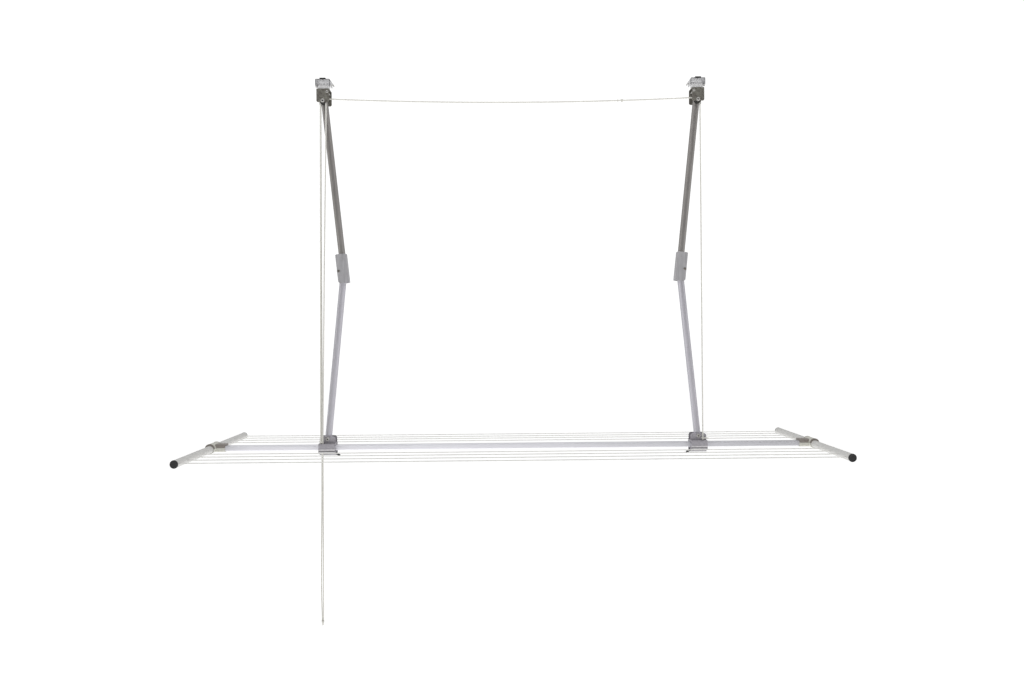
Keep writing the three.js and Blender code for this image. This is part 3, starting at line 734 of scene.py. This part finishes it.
def riveted_pin(name, radius, head, height, front, back, at, look):
    """A pin with a domed head at each end and a dimple in each head, painted near black as shade in the
    hollow.
    """
    dimple = head * 0.4
    clear = 0.3  # between a head and the plate behind it

    def cap(face, out):
        """The profile of one head, from its pin outward to its middle."""
        return [(radius, face), (head, face), (head, face + out * height * 0.35),
                (head * 0.93, face + out * height * 0.7), (head * 0.75, face + out * height * 0.93),
                (dimple * 1.35, face + out * height), (dimple, face + out * height * 0.9),
                (dimple * 0.8, face + out * height * 0.35), (0, face + out * height * 0.3)]

    profile = cap(front - clear, -1)[::-1] + cap(back + clear, 1)
    made = paint(lathe(name, "y", profile, at), look, "dimple_painted_shade")
    # the faces inside the dimple take the painted shade
    for face in made.data.polygons:
        centre = face.center / MM
        if math.hypot(centre.x - at[0], centre.z - at[2]) < dimple and abs(face.normal.y) > 0.05:
            face.material_index = 1
    return soften(made, 0.15, angle=50)


def hanger_pin(side, inward):
    """A cross pin with a flat head outside; its inner end is bent down to hold it."""
    body = lathe("pin", "x", [(0, -25.6), (3.8, -25.6), (5.3, -25.2), (6, -24.2), (6, -22.3), (2.6, -22.3),
                              (2.6, 23.4), (0, 23.4)], at=(0, -6.5, -17))
    bend = [(21, -6.5, -16.8), (24.6, -6.6, -15.6), (27.4, -6.9, -15.9), (29, -7.2, -17.8),
            (29.4, -7.4, -21.6)]
    tail = swept("tail", spline_points(bend, 0.8), even(1.5), sides=14)
    body = merge(body, tail)
    body.name = f"hanger_pin_bent_{side}"
    mirrored(body, inward)
    body.location.x = -inward * BRACKET_X * MM
    paint(body, "pin_steel")
    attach(body, "root")
    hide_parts(f"hanger_pin_{side}")


def add_pins():
    knee_face = 12.6
    for side, sign in SIDES.items():
        x = sign * BRACKET_X
        pins = [  # node, body, sizes, place, finish; sizes are radius, head, head height, front and back face
            ("upper_pivot_pin", "root", (4, 5.6, 2, -27, 13), (x, 0, UPPER_PIVOT_Z), "pin_steel"),
            ("guard_pin", "root", (2.3, 4, 2, -27, 13), (x - sign * 13, 0, -41), "pin_steel"),
            ("knee_pin", f"upper_arm_{side}", (3, 4.2, 1.2, -knee_face, knee_face),
             (sign * KNEE_X, 0, KNEE_Z), "worn_dark"),
            ("lower_pivot_pin", "frame", (4, 6, 2.2, -13, 13), (x, 0, LOWER_PIVOT_Z), "pin_steel"),
        ]
        for name, body, sizes, at, look in pins:
            made = riveted_pin(f"{name}_riveted_{side}", *sizes, at=at, look=look)
            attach(made, body)
            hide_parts(f"{name}_{side}")
        hanger_pin(side, -sign)
        paint(NODES[f"knee_rivet_{side}"], "knee_grey")
        soften(NODES[f"knee_rivet_{side}"], 0.2)


def add_sheaves():
    """Grooved wheels on the upper pivot pins."""
    bore, rim, half, groove = 4.3, 10.6, 2.9, 2.3
    arc = [(SHEAVE_RADIUS - groove * math.cos(a), groove * math.sin(a))
           for a in np.linspace(-math.pi / 2, math.pi / 2, 13)]
    profile = [(bore, -half + 0.3), (bore + 0.3, -half), (5.4, -half), (5.9, -half + 0.5),
               (rim - 0.4, -half + 0.2), (rim - 0.1, -half + 0.4), *arc,
               (rim - 0.1, half - 0.4), (rim - 0.4, half - 0.2), (5.9, half - 0.5), (5.4, half),
               (bore + 0.3, half), (bore, half - 0.3), (bore, -half + 0.3)]
    places = [("left_front", -BRACKET_X, SHEAVE_FRONT_Y), ("left_rear", -BRACKET_X, SHEAVE_REAR_Y),
              ("right", BRACKET_X, SHEAVE_REAR_Y)]
    for name, x, y in places:
        made = lathe(f"grooved_wheel_{name}", "y", profile, (x, y, UPPER_PIVOT_Z), sides=64)
        soften(paint(made, "sheave_dark"), 0.12, angle=55)
        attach(made, f"sheave_{name}")
        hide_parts(f"sheave_{name}")


def add_caps():
    """Black moulded caps on the crossbar ends, with a shallow ring in the face."""
    face = 277.3
    profile = [(0, face - 12), (8.8, face - 12), (9.3, face - 11.4), (9.3, face), (11.2, face),
               (11.3, face + 0.5), (11.25, face + 1.4), (10.7, face + 2.2), (9.9, face + 2.55),
               (8.7, face + 2.7), (7.8, face + 2.6), (7.3, face + 2.25), (6.6, face + 2.2),
               (4, face + 2.45), (0, face + 2.55)]
    for side, sign in SIDES.items():
        for end, way in (("front", -1), ("back", 1)):
            made = lathe(f"moulded_cap_{side}_{end}", "y", [(r, way * y) for r, y in profile],
                         (sign * BAR_X, 0, BAR_Z), sides=64)
            paint(made, "black_plastic")
            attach(made, "frame")
            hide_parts(f"end_cap_{side}_{end}")


add_pins()
add_sheaves()
add_caps()


# ---------- tee fittings ----------

RAIL_Z = -1095
RING_Z = -1093  # the sleeve stands higher than the crossbar in it
SOCKET_TOP = -1081.5
SOCKET_UNDER = -1104.5
SEAM_Z = -1092
HALF_RING = 28
HALF_SOCKET = 15.5
LIP_WIDTH = 2.1
SLEEVE_END = 11  # where the socket leaves the sleeve
MOUTH = 40


def tee_shell(name, low, high):
    """One half of a tee fitting, between two heights.

    It has a sleeve round the crossbar and a socket for the rail.
    """
    lip = [(14.3, HALF_RING - LIP_WIDTH), (14.9, HALF_RING - 1.6), (14.9, HALF_RING - 0.5), (14.4, HALF_RING),
           (0, HALF_RING)]
    ring = lathe("ring", "y", [(r, -y) for r, y in lip[::-1]] + lip, (0, 0, RING_Z), sides=64)
    outside = round_outline(-HALF_SOCKET, HALF_SOCKET, SOCKET_UNDER, SOCKET_TOP, 5)
    inside = round_outline(-12.3, 12.3, RAIL_Z - 7.8, RAIL_Z + 7.8, 3)
    socket = prism(name, "x", outside, SLEEVE_END, MOUTH)
    combine(socket, [ring], "UNION")
    bore = lathe("bore", "y", [(0, -31), (11.3, -31), (11.3, 31), (0, 31)], (0, 0, BAR_Z), sides=64)
    cavity = prism("cavity", "x", inside, 17, MOUTH + 1)
    combine(socket, [bore, cavity], "DIFFERENCE")
    slab = prism("slab", "z", [(-40, -40), (80, -40), (80, 40), (-40, 40)], low, high)
    combine(socket, [slab], "INTERSECT")
    return socket


def tint_upper_shell(made):
    """The upper socket and the lips of the sleeve are taupe; the rest of the sleeve is cream. The taupe on
    the lips is a painted shadow line along the sleeve's edges.
    """
    for face in made.data.polygons:
        centre = face.center / MM
        lip_painted_shadow = abs(centre.y) > HALF_RING - LIP_WIDTH - 0.1
        in_socket = abs(centre.x) > SLEEVE_END and abs(centre.y) < HALF_SOCKET + 0.5
        face.material_index = 0 if lip_painted_shadow or in_socket else 1


def add_tees():
    half_gap = 0.25  # half of the seam's width
    above, below = -1070, -1130  # heights clear of the whole fitting
    halves = [("upper", SEAM_Z + half_gap, above, ["tee_taupe", "tee_cream"]),
              ("lower", below, SEAM_Z - half_gap, ["tee_cream"])]
    for side, sign in SIDES.items():
        for half, low, high, looks in halves:
            made = mirrored(tee_shell(f"tee_{half}_{side}", low, high), -sign)
            made.location.x = sign * BAR_X * MM
            paint(made, *looks)
            if half == "upper":
                tint_upper_shell(made)
            soften(made, 0.4, angle=38, edge_material=-1)
            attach(made, "frame")
            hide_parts(f"tee_fitting_{side}")


add_tees()


# ---------- floor ----------


def add_floor():
    """A plain white floor, far larger than the view."""
    reach = 30000
    corners = [(-reach, -reach), (reach, -reach), (reach, reach), (-reach, reach)]
    floor = new_object("floor", [(x, y, FLOOR_Z) for x, y in corners], [[0, 1, 2, 3]])
    floor.data.materials.append(surface("floor_white", (0.93, 0.93, 0.93), 0.9, vary=0.01, mottle=0.5,
                                        grain=40, bump=0.05, glow=0.62))


add_floor()
